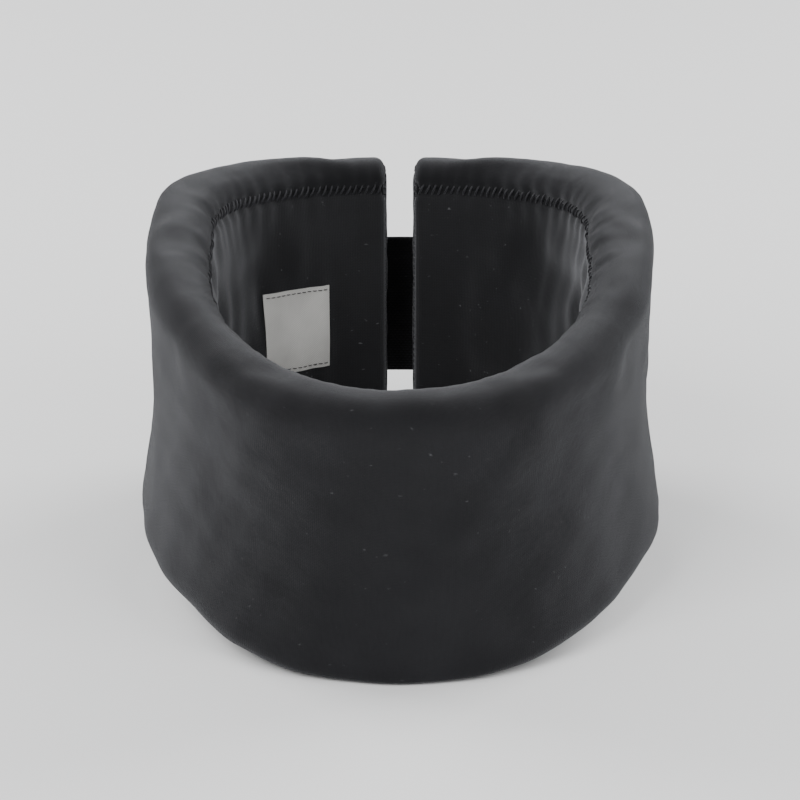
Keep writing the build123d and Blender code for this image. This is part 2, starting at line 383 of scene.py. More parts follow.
def soft_wall(s, q, inset=0.0, quiet=1.0):
    """The wall as sewn cloth over foam: flared rim, seam grooves, puckers, soft waves."""
    s = np.asarray(s, float)
    q = np.asarray(q, float)
    p = wall_points(s, q, inset)
    n = -grid_normals(p)
    if len(s) > FEW_ROWS:  # where a stretch meets its neighbour, the shared row gets one normal from both sides
        for row in (0, -1):
            if CLEAR_OF_END < s[row] < ring.length - CLEAR_OF_END:
                near = s[row] + 0.5 * MM * np.array([-1, 0, 1])
                inset_here = inset if np.ndim(inset) == 0 else np.asarray(inset)[row]
                n[row] = -grid_normals(wall_points(near, q, inset_here))[1]
    out = ring.at(s)[1][:, None, :]
    facing_out = (n[..., :2] * out).sum(-1)
    outside = np.clip(facing_out, 0, 1)
    inside = np.clip(-facing_out, 0, 1)
    y, z = p[..., 1], p[..., 2]
    low, high = lower_edge(y), upper_edge(y)
    behind = smooth(y, *CALM_RUN)

    # the outline: flared skirt and top, a slight waist, and the rim's lift under the chin
    skirt = SKIRT_FLARE * fade(z - low, SKIRT_REACH)
    waist = WAIST_IN * bell(z - (low + high) / 2, WAIST_REACH)
    shift = skirt + TOP_FLARE * fade(high - z, TOP_REACH) - waist
    sideways = out * (shift * (1 - behind))[..., None]
    p = p + np.concatenate([sideways, 0 * sideways[..., :1]], -1)
    share = np.clip((z - low) / (high - low), 0, 1)
    p[..., 2] += CHIN_LIFT * share * smooth(-y, *CHIN_LIFT_RUN)

    # the cloth's relief along the normal: the seams, the simulated folds, then the waves between the seams
    from_end = np.minimum(s, ring.length - s)[:, None]
    along = s[:, None]
    free = smooth(from_end, 5 * MM, 30 * MM) * (1 - 0.6 * behind * outside)
    fold = FOLD_GAIN * fold_at(s, q) / MM * free
    part_length = np.where((q < 1) | ((q >= 2) & (q < 3)), ROUND_LENGTH, FLAT_LENGTH)
    from_seam = (np.min([np.abs(q - seam) for seam in (0, 3, 4)], axis=0) * part_length)[None, :]
    groove = GROOVE_HEIGHT * bell(from_seam, GROOVE_WIDTH)
    gathers = np.sin(2 * np.pi * along / PUCKER_PITCH + 2.4 * waves(p, 30 * MM, 5))
    pucker = PUCKER_HEIGHT * fade(from_seam, PUCKER_REACH) * gathers
    swell = SWELL_HEIGHT * waves(p, SWELL_SIZE, 11) + RIPPLE_HEIGHT * waves(p, RIPPLE_SIZE, 12)
    upright = p * np.array([1, 1, 0.28])
    folded = inside * LINING_FOLD_HEIGHT * waves(upright, LINING_FOLD_SIZE, 21)
    creases = np.sin(2 * np.pi * along / CREASE_PITCH + 1.6 * waves(p, 50 * MM, 23))
    creased = bell(y - FLEX_Y, CREASE_REACH) * inside * CREASE_HEIGHT * creases
    soft = (1 - fade(from_seam, 6 * MM)) * smooth(from_end, 1 * MM, 22 * MM)
    relief = groove + pucker + fold + (swell * (1 - 0.75 * behind) + folded + creased) * soft
    return p + n * (relief * quiet * MM)[..., None], n


def seated(p):
    """Presses the lowest cloth softly onto the floor plane."""
    z = p[..., 2]
    soft = (0.7 + 3.0 * smooth(-p[..., 1], 15 * MM, 50 * MM)) * MM
    p = p.copy()
    p[..., 2] = 0.5 * (z + np.sqrt(z * z + soft * soft))
    return p


# ---------------------------------------------------------------- meshes
def in_scene(name, data):
    obj = bpy.data.objects.new(name, data)
    bpy.context.scene.collection.objects.link(obj)
    return obj


def read(items, field, width=3, kind=float):
    """A row of values for each item of a mesh."""
    values = np.empty(len(items) * width, kind)
    items.foreach_get(field, values)
    return values.reshape(-1, width)


def corner_vertices(mesh):
    return read(mesh.loops, "vertex_index", 1, int)[:, 0]


def quads(grid, flip=False):
    """Faces between the neighbours of a grid of vertex numbers."""
    a, b = grid[:-1, :-1].ravel(), grid[1:, :-1].ravel()
    c, d = grid[1:, 1:].ravel(), grid[:-1, 1:].ravel()
    return list(zip(a, d, c, b) if flip else zip(a, b, c, d))


def new_object(name, verts, faces, uv=None, sharp=None):
    mesh = bpy.data.meshes.new(name)
    mesh.from_pydata([tuple(v) for v in verts], [], [tuple(f) for f in faces])
    mesh.update()
    mesh.polygons.foreach_set("use_smooth", [True] * len(mesh.polygons))
    if uv is not None:
        layer = mesh.uv_layers.new(name="weave")
        layer.data.foreach_set("uv", np.asarray(uv, float)[corner_vertices(mesh)].ravel())
    if sharp:
        marks = mesh.attributes.new("sharp_edge", "BOOLEAN", "EDGE")
        keys = {tuple(sorted(e.vertices)): e.index for e in mesh.edges}
        for a, b in sharp:
            at = keys.get((min(a, b), max(a, b)))
            if at is not None:
                marks.data[at].value = True
    mesh.validate()
    return in_scene(name, mesh)


def sheet_shell(name, p, n, thickness, uv, ends=None):
    """A closed sheet: the grid p, a copy one thickness below it, and the rim between them. ends gives the
    normals of the first and last row, so that shading runs on across a join between two sheets."""
    rows, cols = p.shape[:2]
    count = rows * cols
    top = np.arange(count).reshape(rows, cols)
    verts = np.vstack([p.reshape(-1, 3), (p - n * thickness).reshape(-1, 3)])
    faces = quads(top, flip=True) + quads(top + count)
    rim = list(top[:, 0]) + list(top[-1, 1:]) + list(top[-2::-1, -1]) + list(top[0, -2:0:-1])
    sharp = []
    for a, b in zip(rim, rim[1:] + rim[:1]):
        faces.append((b, b + count, a + count, a))
        sharp += [(a, b), (a + count, b + count)]
    obj = outward(new_object(name, verts, faces, np.vstack([uv.reshape(-1, 2)] * 2), sharp))
    if ends is not None:
        normals = read(obj.data.corner_normals, "vector")
        corners = corner_vertices(obj.data)
        for row, wanted in ends.items():
            for col in range(cols):
                at = np.flatnonzero(corners == top[row, col])
                agree = normals[at] @ wanted[col] > 0.7
                normals[at[agree]] = wanted[col]
        obj.data.normals_split_custom_set(normals)
    return obj


def outward(obj):
    """Turns every face of a closed mesh outwards, by the sign of its volume."""
    mesh = obj.data
    mesh.calc_loop_triangles()
    a, b, c = read(mesh.vertices, "co")[read(mesh.loop_triangles, "vertices", 3, int)].transpose(1, 0, 2)
    if np.einsum("ij,ij->i", a, np.cross(b, c)).sum() < 0:
        mesh.flip_normals()
    return obj


def tube_faces(rows, cols):
    """Quads of a tube whose rows are closed loops of cols points."""
    grid = np.arange(rows * cols).reshape(rows, cols)
    return quads(np.hstack([grid, grid[:, :1]]), flip=True)


def loft(name, loops, uv=None, caps=True):
    """A closed solid from rows of closed loops, with an n-gon on each end."""
    rows, cols = loops.shape[:2]
    faces = tube_faces(rows, cols)
    if caps:
        faces += [tuple(range(cols)), tuple(range((rows - 1) * cols, rows * cols))[::-1]]
    last = (rows - 1) * cols
    sharp = [(j + k, (j + 1) % cols + k) for j in range(cols) for k in (0, last)]
    return outward(new_object(name, loops.reshape(-1, 3), faces, uv, sharp))


def merged(obj, distance):
    bm = bmesh.new()
    bm.from_mesh(obj.data)
    bmesh.ops.remove_doubles(bm, verts=bm.verts, dist=distance)
    bmesh.ops.dissolve_degenerate(bm, edges=bm.edges, dist=distance * 0.5)
    bm.to_mesh(obj.data)
    bm.free()
    return outward(obj)


# ---------------------------------------------------------------- Geometry Nodes
def new_tree(name, sockets):
    """A node tree from geometry to geometry, with the named inputs."""
    tree = bpy.data.node_groups.new(name, "GeometryNodeTree")
    tree.interface.new_socket("Geometry", in_out="INPUT", socket_type="NodeSocketGeometry")
    for label, kind in sockets.items():
        tree.interface.new_socket(label, in_out="INPUT", socket_type=f"NodeSocket{kind}")
    tree.interface.new_socket("Geometry", in_out="OUTPUT", socket_type="NodeSocketGeometry")
    return tree, tree.nodes.new("NodeGroupInput"), tree.nodes.new("NodeGroupOutput")


FAMILIES = {"G": "GeometryNode", "S": "ShaderNode", "F": "FunctionNode"}


def fill(tree, made, links):
    """Fills a node's inputs from sockets or plain values."""
    for key, value in links.items():
        if isinstance(value, bpy.types.NodeSocket):
            tree.links.new(value, made.inputs[key])
        else:
            made.inputs[key].default_value = value
    return made


def node(tree, kind, links=None, **settings):
    """A node, such as G.MeshToCurve, with its properties set and its inputs filled from sockets or values."""
    family, _, rest = kind.partition(".")
    made = tree.nodes.new(FAMILIES[family] + rest)
    for key, value in settings.items():
        setattr(made, key, value)
    return fill(tree, made, links or {})


def wired(tree, kind, links=None, out=0, **settings):
    """A node's output."""
    return node(tree, kind, links, **settings).outputs[out]


def calc(tree, operation, *values):
    return wired(tree, "S.Math", dict(enumerate(values)), operation=operation)


def grown(name, source, tree, values):
    """The plain mesh that a tree makes of a source object, which is then removed."""
    mod = source.modifiers.new("grow", "NODES")
    mod.node_group = tree
    for item in tree.interface.items_tree:
        if item.item_type == "SOCKET" and item.in_out == "INPUT" and item.name in values:
            mod[item.identifier] = values[item.name]
    graph = bpy.context.evaluated_depsgraph_get()
    mesh = bpy.data.meshes.new_from_object(source.evaluated_get(graph), depsgraph=graph)
    mesh.name = name
    bpy.data.objects.remove(source)
    return in_scene(name, mesh)


def with_normals(mesh, normals):
    """Stores the surface normal at each vertex as the attribute nrm, which the trees stand things on."""
    stored = mesh.attributes.new("nrm", "FLOAT_VECTOR", "POINT")
    stored.data.foreach_set("vector", np.asarray(normals, float).ravel())


def guide(lines):
    """Polylines (points, normals, closed) for stitches to follow."""
    mesh = bpy.data.meshes.new("guide")
    edges = []
    first = 0
    for points, _, closed in lines:
        last = first + len(points) - 1
        edges += [(i, i + 1) for i in range(first, last)]
        edges += [(last, first)] if closed else []
        first = last + 1
    mesh.from_pydata([tuple(p) for points, _, _ in lines for p in points], edges, [])
    with_normals(mesh, np.vstack([n for _, n, _ in lines]))
    return in_scene("guide", mesh)


def nodes_into(tree, end, material_socket, points, shape, turned, **more):
    """Puts the shape on the points, makes it real, smooth and dressed, and ends the tree."""
    made = wired(tree, "G.InstanceOnPoints", {
        "Points": points, "Instance": shape, "Rotation": turned, **more})
    made = wired(tree, "G.RealizeInstances", {"Geometry": made})
    made = wired(tree, "G.SetShadeSmooth", {"Geometry": made})
    made = wired(tree, "G.SetMaterial", {"Geometry": made, "Material": material_socket})
    tree.links.new(made, end.inputs[0])
    return tree


def thread_along(tree, curve, sides, radius):
    profile = wired(tree, "G.CurvePrimitiveCircle", {"Resolution": sides, "Radius": radius})
    return wired(tree, "G.CurveToMesh", {"Curve": curve, "Profile Curve": profile, "Fill Caps": True})


def stored_normal(tree):
    return wired(tree, "G.InputNamedAttribute", {"Name": "nrm"}, data_type="FLOAT_VECTOR")


def random_value(tree, low, high, seed, kind="FLOAT"):
    values = {"Min": low, "Max": high, "Seed": seed}
    return wired(tree, "F.RandomValue", values, out=1 if kind == "FLOAT" else 0, data_type=kind)


def turned_by(tree, rotation, by):
    return wired(tree, "F.RotateRotation", {"Rotation": rotation, "Rotate By": by}, rotation_space="LOCAL")


def either(tree, kind, choice, yes, no):
    return wired(tree, "G.Switch", {"Switch": choice, "False": no, "True": yes}, input_type=kind)


def stitch_tree():
    """Stitches along a guide: bowed threads, all turned by the same slant."""
    names = ("Spacing", "Length", "Thread", "Slant", "Lift")
    tree, start, end = new_tree("stitches", {**{k: "Float" for k in names}, "Material": "Material"})
    given = start.outputs
    curve = wired(tree, "G.MeshToCurve", {"Mesh": given["Geometry"]})
    even = wired(tree, "G.ResampleCurve", {"Curve": curve, "Length": given["Spacing"]}, mode="LENGTH")
    bow = wired(tree, "G.CurvePrimitiveBezierSegment", {
        "Start": (-0.5, 0, -0.22), "Start Handle": (-0.28, 0, 0.16), "End Handle": (0.28, 0, 0.16),
        "End": (0.5, 0, -0.22), "Resolution": 6})
    long = wired(tree, "S.CombineXYZ", {"X": given["Length"], "Y": 1.0, "Z": given["Length"]})
    sized = wired(tree, "G.Transform", {"Geometry": bow, "Scale": long})
    thread = thread_along(tree, sized, 6, given["Thread"])
    normal = stored_normal(tree)
    along = wired(tree, "F.AlignRotationToVector", {"Vector": wired(tree, "G.InputTangent")}, axis="X")
    stood = wired(tree, "F.AlignRotationToVector", {"Rotation": along, "Vector": normal},
                  axis="Z", pivot_axis="X")
    turn = calc(tree, "ADD", given["Slant"], random_value(tree, -0.08, 0.08, 4))
    turned = turned_by(tree, stood, wired(tree, "S.CombineXYZ", {"Z": turn}))
    lift = wired(tree, "S.VectorMath", {0: normal, "Scale": given["Lift"]}, operation="SCALE")
    raised = wired(tree, "G.SetPosition", {"Geometry": even, "Offset": lift})
    return nodes_into(tree, end, given["Material"], raised, thread, turned)


def tuft_tree():
    """Small bent threads on a surface: hooks on its vertices, or loops scattered over its faces."""
    names = ("Density", "Height", "Thread", "Closed", "Lean")
    tree, start, end = new_tree("tufts", {
        "Scattered": "Bool", **{k: "Float" for k in names}, "Material": "Material"})
    given = start.outputs
    surface, scattered = given["Geometry"], given["Scattered"]
    spread = wired(tree, "G.DistributePointsOnFaces", {
        "Mesh": surface, "Density": given["Density"], "Seed": 7})
    rows = wired(tree, "G.MeshToPoints", {"Mesh": surface})
    points = either(tree, "GEOMETRY", scattered, spread, rows)
    tip = wired(tree, "S.Mix", {"Factor": given["Closed"], "A": (0.42, 0, 0.48), "B": (0.3, 0, -0.1)},
                out=1, data_type="VECTOR")
    arc = wired(tree, "G.CurvePrimitiveBezierSegment", {
        "Start": (-0.3, 0, -0.1), "Start Handle": (-0.42, 0, 1.15), "End Handle": (0.5, 0, 1.3), "End": tip,
        "Resolution": 5})
    size = wired(tree, "S.CombineXYZ", {k: given["Height"] for k in "XYZ"})
    tall = wired(tree, "G.Transform", {"Geometry": arc, "Scale": size})
    thread = thread_along(tree, tall, 4, given["Thread"])
    stood = wired(tree, "F.AlignRotationToVector", {"Vector": stored_normal(tree)}, axis="Z")
    lean = given["Lean"]
    back = calc(tree, "MULTIPLY", lean, -1.0)
    low = wired(tree, "S.CombineXYZ", {"X": back, "Y": back, "Z": -3.14})
    high = wired(tree, "S.CombineXYZ", {"X": lean, "Y": lean, "Z": 3.14})
    loose = random_value(tree, low, high, 3, "FLOAT_VECTOR")
    tight = random_value(tree, (-0.06, -0.06, -0.2), (0.06, 0.06, 0.2), 5, "FLOAT_VECTOR")
    turned = turned_by(tree, stood, either(tree, "VECTOR", scattered, loose, tight))
    uneven = random_value(tree, 0.82, 1.12, 9)
    return nodes_into(tree, end, given["Material"], points, thread, turned, Scale=uneven)


# ---------------------------------------------------------------- material effects
def effect(name, inputs, outputs):
    """A shader node group that takes a Vector and named values, and its outputs."""
    group = bpy.data.node_groups.new(name, "ShaderNodeTree")
    group.interface.new_socket("Vector", in_out="INPUT", socket_type="NodeSocketVector")
    for label, value in inputs.items():
        socket = group.interface.new_socket(label, in_out="INPUT", socket_type="NodeSocketFloat")
        socket.default_value = value
    for label in outputs:
        group.interface.new_socket(label, in_out="OUTPUT", socket_type="NodeSocketFloat")
    return group, group.nodes.new("NodeGroupInput").outputs, group.nodes.new("NodeGroupOutput")


def half_waves(tree, value):
    """Rises from 0 to 1 and falls back to 0 between each whole number and the next."""
    return calc(tree, "ABSOLUTE", calc(tree, "SINE", calc(tree, "MULTIPLY", value, math.pi)))


def jersey_effect():
    """Knitted jersey: columns of V stitches. Height is the yarn's relief; the other output is painted shade,
    darkening the colour between yarns.
    """
    group, given, end = effect("jersey_knit", {"Wale": 0.62 * MM, "Course": 0.5 * MM}, ("Height", "Painted Shade"))
    drift = wired(group, "S.TexNoise", {"Vector": given["Vector"], "Scale": 160.0, "Detail": 2.0},
                  out="Color")
    uneven = wired(group, "S.VectorMath", {0: drift, 1: (0.5, 0.5, 0.5)}, operation="SUBTRACT")
    drifted = wired(group, "S.VectorMath", {0: uneven, 1: (0.0007, 0.0007, 0.0), 2: given["Vector"]},
                    operation="MULTIPLY_ADD")
    place = node(group, "S.SeparateXYZ", {0: drifted}).outputs
    across = calc(group, "DIVIDE", place["X"], given["Wale"])
    along = calc(group, "DIVIDE", place["Y"], given["Course"])
    side = calc(group, "ABSOLUTE", calc(group, "SUBTRACT", calc(group, "FRACT", across), 0.5))
    leg = calc(group, "ABSOLUTE", calc(group, "SINE", calc(group, "MULTIPLY", side, 2 * math.pi)))
    bead = half_waves(group, calc(group, "FRACT", calc(group, "MULTIPLY_ADD", side, 1.5, along)))
    height = calc(group, "MULTIPLY", leg, calc(group, "MULTIPLY_ADD", bead, 0.62, 0.38))
    # Painted shade: the colour is darkened where the yarn is low, between the yarns.
    fill(group, end, {"Height": height, "Painted Shade": calc(group, "MULTIPLY_ADD", height, 0.65, 0.53)})
    return group


def webbing_effect():
    """Woven webbing: ribs along the strap crossed by weft picks that pass over and under by turns, with shade
    painted into the colour where the weave is low.
    """
    group, given, end = effect("strap_weave", {"Rib": 0.95 * MM, "Pick": 1.25 * MM}, ("Height", "Painted Shade"))
    place = node(group, "S.SeparateXYZ", {0: given["Vector"]}).outputs
    rib = calc(group, "DIVIDE", place["Y"], given["Rib"])
    pick = calc(group, "DIVIDE", place["X"], given["Pick"])
    odd = calc(group, "MODULO", calc(group, "FLOOR", rib), 2.0)
    over = half_waves(group, calc(group, "MULTIPLY_ADD", odd, 0.5, pick))
    height = calc(group, "MULTIPLY", half_waves(group, rib), calc(group, "MULTIPLY_ADD", over, 0.7, 0.3))
    # Painted shade: the colour is darkened where the weave is low, between ribs and picks.
    fill(group, end, {"Height": height, "Painted Shade": calc(group, "MULTIPLY_ADD", height, 0.55, 0.55)})
    return group


def fibre_effect():
    """Fibre fuzz and lint over any cloth: its relief, a colour that varies at random, and pale lint."""
    group, given, end = effect("fibre_fuzz", {"Grain": 900.0, "Lint": 0.5}, ("Height", "Tone", "Lint"))
    place = given["Vector"]
    fine = wired(group, "S.TexNoise", {
        "Vector": place, "Scale": given["Grain"], "Detail": 4.0, "Roughness": 0.7})
    broad = wired(group, "S.TexNoise", {"Vector": place, "Scale": 42.0, "Detail": 3.0})
    stretched = wired(group, "S.Mapping", {
        "Vector": place, "Rotation": (0.4, 0.8, 0.3), "Scale": (1.0, 5.0, 2.4)})
    specks = wired(group, "S.TexNoise", {"Vector": stretched, "Scale": 260.0, "Detail": 2.0})
    caught = wired(group, "S.MapRange", {"Value": specks, "From Min": 0.715, "From Max": 0.8})
    fill(group, end, {
        "Height": fine, "Tone": calc(group, "MULTIPLY_ADD", broad, 0.9, 0.55),
        "Lint": calc(group, "MULTIPLY", caught, given["Lint"])})
    return group


LINT_COLOUR = (0.16, 0.16, 0.17, 1)
SHEEN_TINT = (0.78, 0.79, 0.83, 1)
JERSEY = jersey_effect()
WEBBING = webbing_effect()
FIBRE = fibre_effect()


def material(name):
    mat = bpy.data.materials.new(name)
    mat.use_nodes = True
    return mat, mat.node_tree, mat.node_tree.nodes["Principled BSDF"]


def placed_group(tree, group, links):
    made = tree.nodes.new("ShaderNodeGroup")
    made.node_tree = group
    return fill(tree, made, links)


def mixed_colour(tree, share, first, second, **settings):
    return wired(tree, "S.Mix", {"Factor": share, "A": first, "B": second}, out=2,
                 data_type="RGBA", **settings)


def object_place(tree):
    return wired(tree, "S.TexCoord", out="Object")


def raised_by(tree, height, strength, distance):
    return wired(tree, "S.Bump", {"Strength": strength, "Distance": distance, "Height": height})


def cloth(name, colour, weave=None, size=None, relief=0.25, fuzz=0.08, lint=0.3, rough=0.9, sheen=0.35,
          grain=900.0, specular=0.2):
    """A cloth: weave relief on its own UV map, with shade painted into the colour between the yarns, fibre fuzz
    on top, and sheen.
    """
    mat, tree, shader = material(name)
    fibre = placed_group(tree, FIBRE, {"Vector": object_place(tree), "Grain": grain, "Lint": lint}).outputs
    tone_and_painted_shade = fibre["Tone"]
    height = calc(tree, "MULTIPLY", fibre["Height"], fuzz)
    if weave is not None:
        uv = wired(tree, "S.UVMap", uv_map="weave")
        woven = placed_group(tree, weave, {"Vector": uv, **(size or {})}).outputs
        # Painted shade from the weave: the cloth's colour is darkened between the yarns.
        tone_and_painted_shade = calc(tree, "MULTIPLY", tone_and_painted_shade, woven["Painted Shade"])
        height = calc(tree, "MULTIPLY_ADD", woven["Height"], relief, height)
    # The cloth's own colour times its random variation, with the painted shade between yarns multiplied in.
    dyed_with_painted_shade = mixed_colour(tree, 1.0, (*colour, 1.0), tone_and_painted_shade, blend_type="MULTIPLY")
    fill(tree, shader, {
        "Base Color": mixed_colour(tree, fibre["Lint"], dyed_with_painted_shade, LINT_COLOUR),
        "Roughness": calc(tree, "MULTIPLY_ADD", fibre["Height"], 0.12, rough - 0.06),
        "Normal": raised_by(tree, height, 0.7, 0.5 * MM),
        "Specular IOR Level": specular,
        "Sheen Weight": sheen, "Sheen Roughness": 0.45, "Sheen Tint": SHEEN_TINT})
    return mat


def foam_material():
    """Open-cell foam: cream, with shade painted dark into its small pores."""
    mat, tree, shader = material("foam")
    from_cell = wired(tree, "S.TexVoronoi", {
        "Vector": object_place(tree), "Scale": 1100.0, "Randomness": 1.0}, out="Distance")
    pore_depth_and_painted_shade = wired(tree, "S.MapRange", {"Value": from_cell, "From Min": 0.05, "From Max": 0.55})
    fill(tree, shader, {
        # Painted shade: the colour is darkened in the pores, where the bump makes them low.
        "Base Color": mixed_colour(tree, pore_depth_and_painted_shade, (0.42, 0.37, 0.26, 1), (0.83, 0.78, 0.65, 1)),
        "Normal": raised_by(tree, pore_depth_and_painted_shade, 0.8, 0.5 * MM), "Roughness": 0.95})
    return mat


def hook_material():
    """Moulded nylon hook tape: near black, with a dull gloss and fine scratches."""
    mat, tree, shader = material("hook_tape")
    streaks = wired(tree, "S.Mapping", {"Vector": object_place(tree), "Scale": (1, 1, 9)})
    scuff = wired(tree, "S.TexNoise", {"Vector": streaks, "Scale": 500.0, "Detail": 3.0})
    fill(tree, shader, {
        "Base Color": mixed_colour(tree, scuff, (0.01, 0.01, 0.011, 1), (0.035, 0.035, 0.038, 1)),
        "Roughness": calc(tree, "MULTIPLY_ADD", scuff, 0.4, 0.25),
        "Normal": raised_by(tree, scuff, 0.2, 0.1 * MM)})
    return mat


BLACK = (0.0115, 0.0115, 0.013)
MATERIALS = {
    "foam": foam_material(),
    "cover_knit": cloth("cover_knit", BLACK, JERSEY, relief=0.36, fuzz=0.2, sheen=0.24, specular=0.12),
    "lining_knit": cloth("lining_knit", (0.0125, 0.0125, 0.014), JERSEY,
                         {"Wale": 1.3 * MM, "Course": 1.0 * MM}, relief=0.16, fuzz=0.26, sheen=0.5,
                         grain=700.0, lint=0.5),
    "thread": cloth("thread", (0.02, 0.02, 0.023), fuzz=0.1, rough=0.6, sheen=0.2, grain=3500.0, lint=0.0),
    "loop_pile": cloth("loop_pile", (0.014, 0.014, 0.0155), fuzz=0.3, sheen=0.6, grain=1300.0, lint=0.6),
    "webbing": cloth("webbing", (0.013, 0.013, 0.015), WEBBING, relief=0.45, fuzz=0.05, rough=0.66,
                     sheen=0.25, lint=0.2),
    "hook_tape": hook_material(),
    "label_satin": cloth("label_satin", (0.72, 0.71, 0.68), WEBBING, {"Rib": 0.35 * MM, "Pick": 0.8 * MM},
                         relief=0.12, fuzz=0.05, rough=0.45, sheen=0.3, lint=0.0),
}


def dress(obj, slot, *stands_for, body=None):
    """Gives a piece its material and slot, the nodes it stands for and the body it rides."""
    obj.data.materials.clear()
    obj.data.materials.append(MATERIALS[slot])
    if stands_for:
        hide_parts(*stands_for)
    if body:
        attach(obj, body)
    return obj


# ---------------------------------------------------------------- the rows and columns of the soft pieces
ROW = 1.25 * MM
SPLIT_TURN = 0.70  # sine of the place on the front arc where front and wing cloth meet
split_s = ring.where(1, FRONT_Y - SPLIT_TURN * HALF_WIDTH, 0.1 * ring.length, 0.5 * ring.length)
END_STEPS = 6
JOIN_REACH = 11  # rows on either side of a join from which its normals are taken


def side_rows(side):
    """Row lengths along the ring, and insets, of the front, left or right stretch. The last rows of a wing
    round the ring's end."""
    if side == "front":
        s = np.linspace(split_s, ring.length - split_s, int((ring.length - 2 * split_s) / ROW))
        return s, 0 * s
    turn = np.linspace(0, QUARTER, END_STEPS + 1)[:-1]
    rest = np.linspace(END_ROUND, split_s, int(split_s / ROW))
    s = np.concatenate([END_ROUND * (1 - np.cos(turn)), rest])
    inset = np.concatenate([END_ROUND * (1 - np.sin(turn)), 0 * rest])
    return (s, inset) if side == "left" else (ring.length - s[::-1], inset[::-1])


SIDES = ("front", "left", "right")
COVER_Q = np.concatenate([np.linspace(0, 1, 19), np.linspace(1, 2, 45)[1:], np.linspace(2, 3, 19)[1:]])
LINING_Q = np.linspace(3, 4 - 1e-6, 44)
ALL_Q = np.linspace(0, 4, 120, endpoint=False)


def bends(obj, side):
    """Lets a front piece follow the front by riding its body; any other piece has its placement baked into its
    mesh.
    """
    if side == "front":
        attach(obj, "front")
    else:
        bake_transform(obj)
    return obj


def cloth_uv(p, s):
    """UV in metres: along the ring, and down the cloth."""
    steps = np.linalg.norm(np.diff(p, axis=1), axis=-1)
    down = np.concatenate([np.zeros((len(p), 1)), np.cumsum(steps, axis=1)], 1)
    down -= down.mean(axis=1, keepdims=True)
    return np.stack([s[:, None] + 0 * down, down], -1)


def join_normals(s, q, side):
    """Surface normals of the rows where this stretch meets its neighbour."""
    around = np.arange(-JOIN_REACH, JOIN_REACH + 1)
    found = {}
    for row in {"front": (0, -1), "left": (-1,), "right": (0,)}[side]:
        near = seated(soft_wall(s[row] + ROW * around, q)[0])
        found[row] = -grid_normals(near)[JOIN_REACH]
    return found


def cloth_piece(side, name, q, slot, stands_for):
    """The cover or the lining of one stretch."""
    s, inset = side_rows(side)
    p, n = soft_wall(s, q, inset)
    joins = join_normals(s, q, side)
    obj = sheet_shell(f"{name}_{side}", seated(p), n, SHEET, cloth_uv(p, s), joins)
    dress(obj, slot, f"{stands_for}_{side}")
    return bends(obj, side)


def foam_piece(side):
    """The foam core of one stretch, a little inside the cloth."""
    s, inset = side_rows(side)
    s = np.append(s[::2], s[-1])
    inset = np.append(inset[::2], inset[-1])
    from_end = np.minimum(s, ring.length - s)
    back = np.where(from_end < 10 * MM, 2.4 * MM - 0.24 * from_end, 0)  # keeps the foam off the end caps
    s = np.where(s < ring.length / 2, s + back, s - back)
    p, _ = soft_wall(s, ALL_Q, inset + FOAM_INSET, quiet=0.4)
    obj = loft(f"foam_core_{side}", seated(p) + UP * 1.5 * MM)
    dress(obj, "foam", f"foam_{side}")
    return bends(obj, side)


STITCH_TREE = stitch_tree()
TUFT_TREE = tuft_tree()


OVERLOCK_INSET = 3.7 * MM
OVERLOCK_CLEAR = 2.2 * MM  # how far the long seams stop short of the ring's ends


def end_facing(side):
    """The cap that closes the ring's end: cloth tucked under the cover's edge and domed by the foam."""
    def from_end(away):
        return away if side == "left" else ring.length - away

    insets = np.concatenate([np.linspace(1.7, 6, 8), np.linspace(6, WALL / 2 / MM - 0.001, 6)[1:]]) * MM
    dome = 0.7 * MM - 1.5 * MM * smooth(insets, 2.0 * MM, 6.5 * MM)
    q = np.concatenate([k + np.linspace(0, 1, n, endpoint=False) for k, n in enumerate((14, 60, 14, 60))])
    inner = list(zip(insets, dome))[::-1]
    outer = list(zip(insets, dome + SHEET))
    rows = [wall_points([from_end(away)], q, inset)[0] for inset, away in inner + outer]
    loops = seated(np.array(rows))
    loops[..., 0] += 0.14 * MM * waves(loops, 9 * MM, 31)
    cap = merged(loft(f"end_cap_{side}", loops, loops[..., 1:].reshape(-1, 2), caps=False), 0.004 * MM)
    dress(cap, "cover_knit", f"end_facing_{side}", body=f"{side}_wing")
    edge_q = np.linspace(0, 4, 260, endpoint=False)
    edge = seated(wall_points([from_end(0.15 * MM)], edge_q, OVERLOCK_INSET)[0])
    way = np.tile([1.0 if side == "left" else -1.0, 0, 0], (len(edge), 1))
    seam = stitches(f"end_overlock_{side}", [(edge, way, True)], 2.2 * MM, 2.1 * MM, 0.26 * MM,
                    slant=1.1, lift=0.3 * MM)
    dress(seam, "thread", body=f"{side}_wing")


def seam_guide(side, where):
    """The line of a seam, in the groove between cover and lining."""
    s, inset = side_rows(side)
    keep = (s > OVERLOCK_CLEAR) & (s < ring.length - OVERLOCK_CLEAR)
    s, inset = s[keep], inset[keep]
    pick = np.unique(np.append(np.arange(0, len(s), 3), len(s) - 1))
    q = 0.0 if where == "top" else 3.0
    p, n = soft_wall(s[pick], np.array([q, q + 0.02]), inset[pick])
    return [(seated(p)[:, 0], n[:, 0], False)]


def stitches(name, lines, spacing, length, thread, slant=0.0, lift=0.0):
    return grown(name, guide(lines), STITCH_TREE, {
        "Spacing": spacing, "Length": length, "Thread": thread, "Slant": slant, "Lift": lift,
        "Material": MATERIALS["thread"]})


FOLDS = sewn_cover_folds()
for side in SIDES:
    cloth_piece(side, "cover", COVER_Q, "cover_knit", "outer_cover")
    cloth_piece(side, "lining", LINING_Q, "lining_knit", "inner_lining")
    foam_piece(side)
    for where in ("top", "bottom"):
        seam = stitches(f"{where}_overlock_{side}", seam_guide(side, where), 2.1 * MM, 4.2 * MM, 0.3 * MM,
                        slant=1.15, lift=0.75 * MM)
        dress(seam, "thread", f"{where}_seam_{side}")
        bends(seam, side)
for side in ("left", "right"):
    end_facing(side)


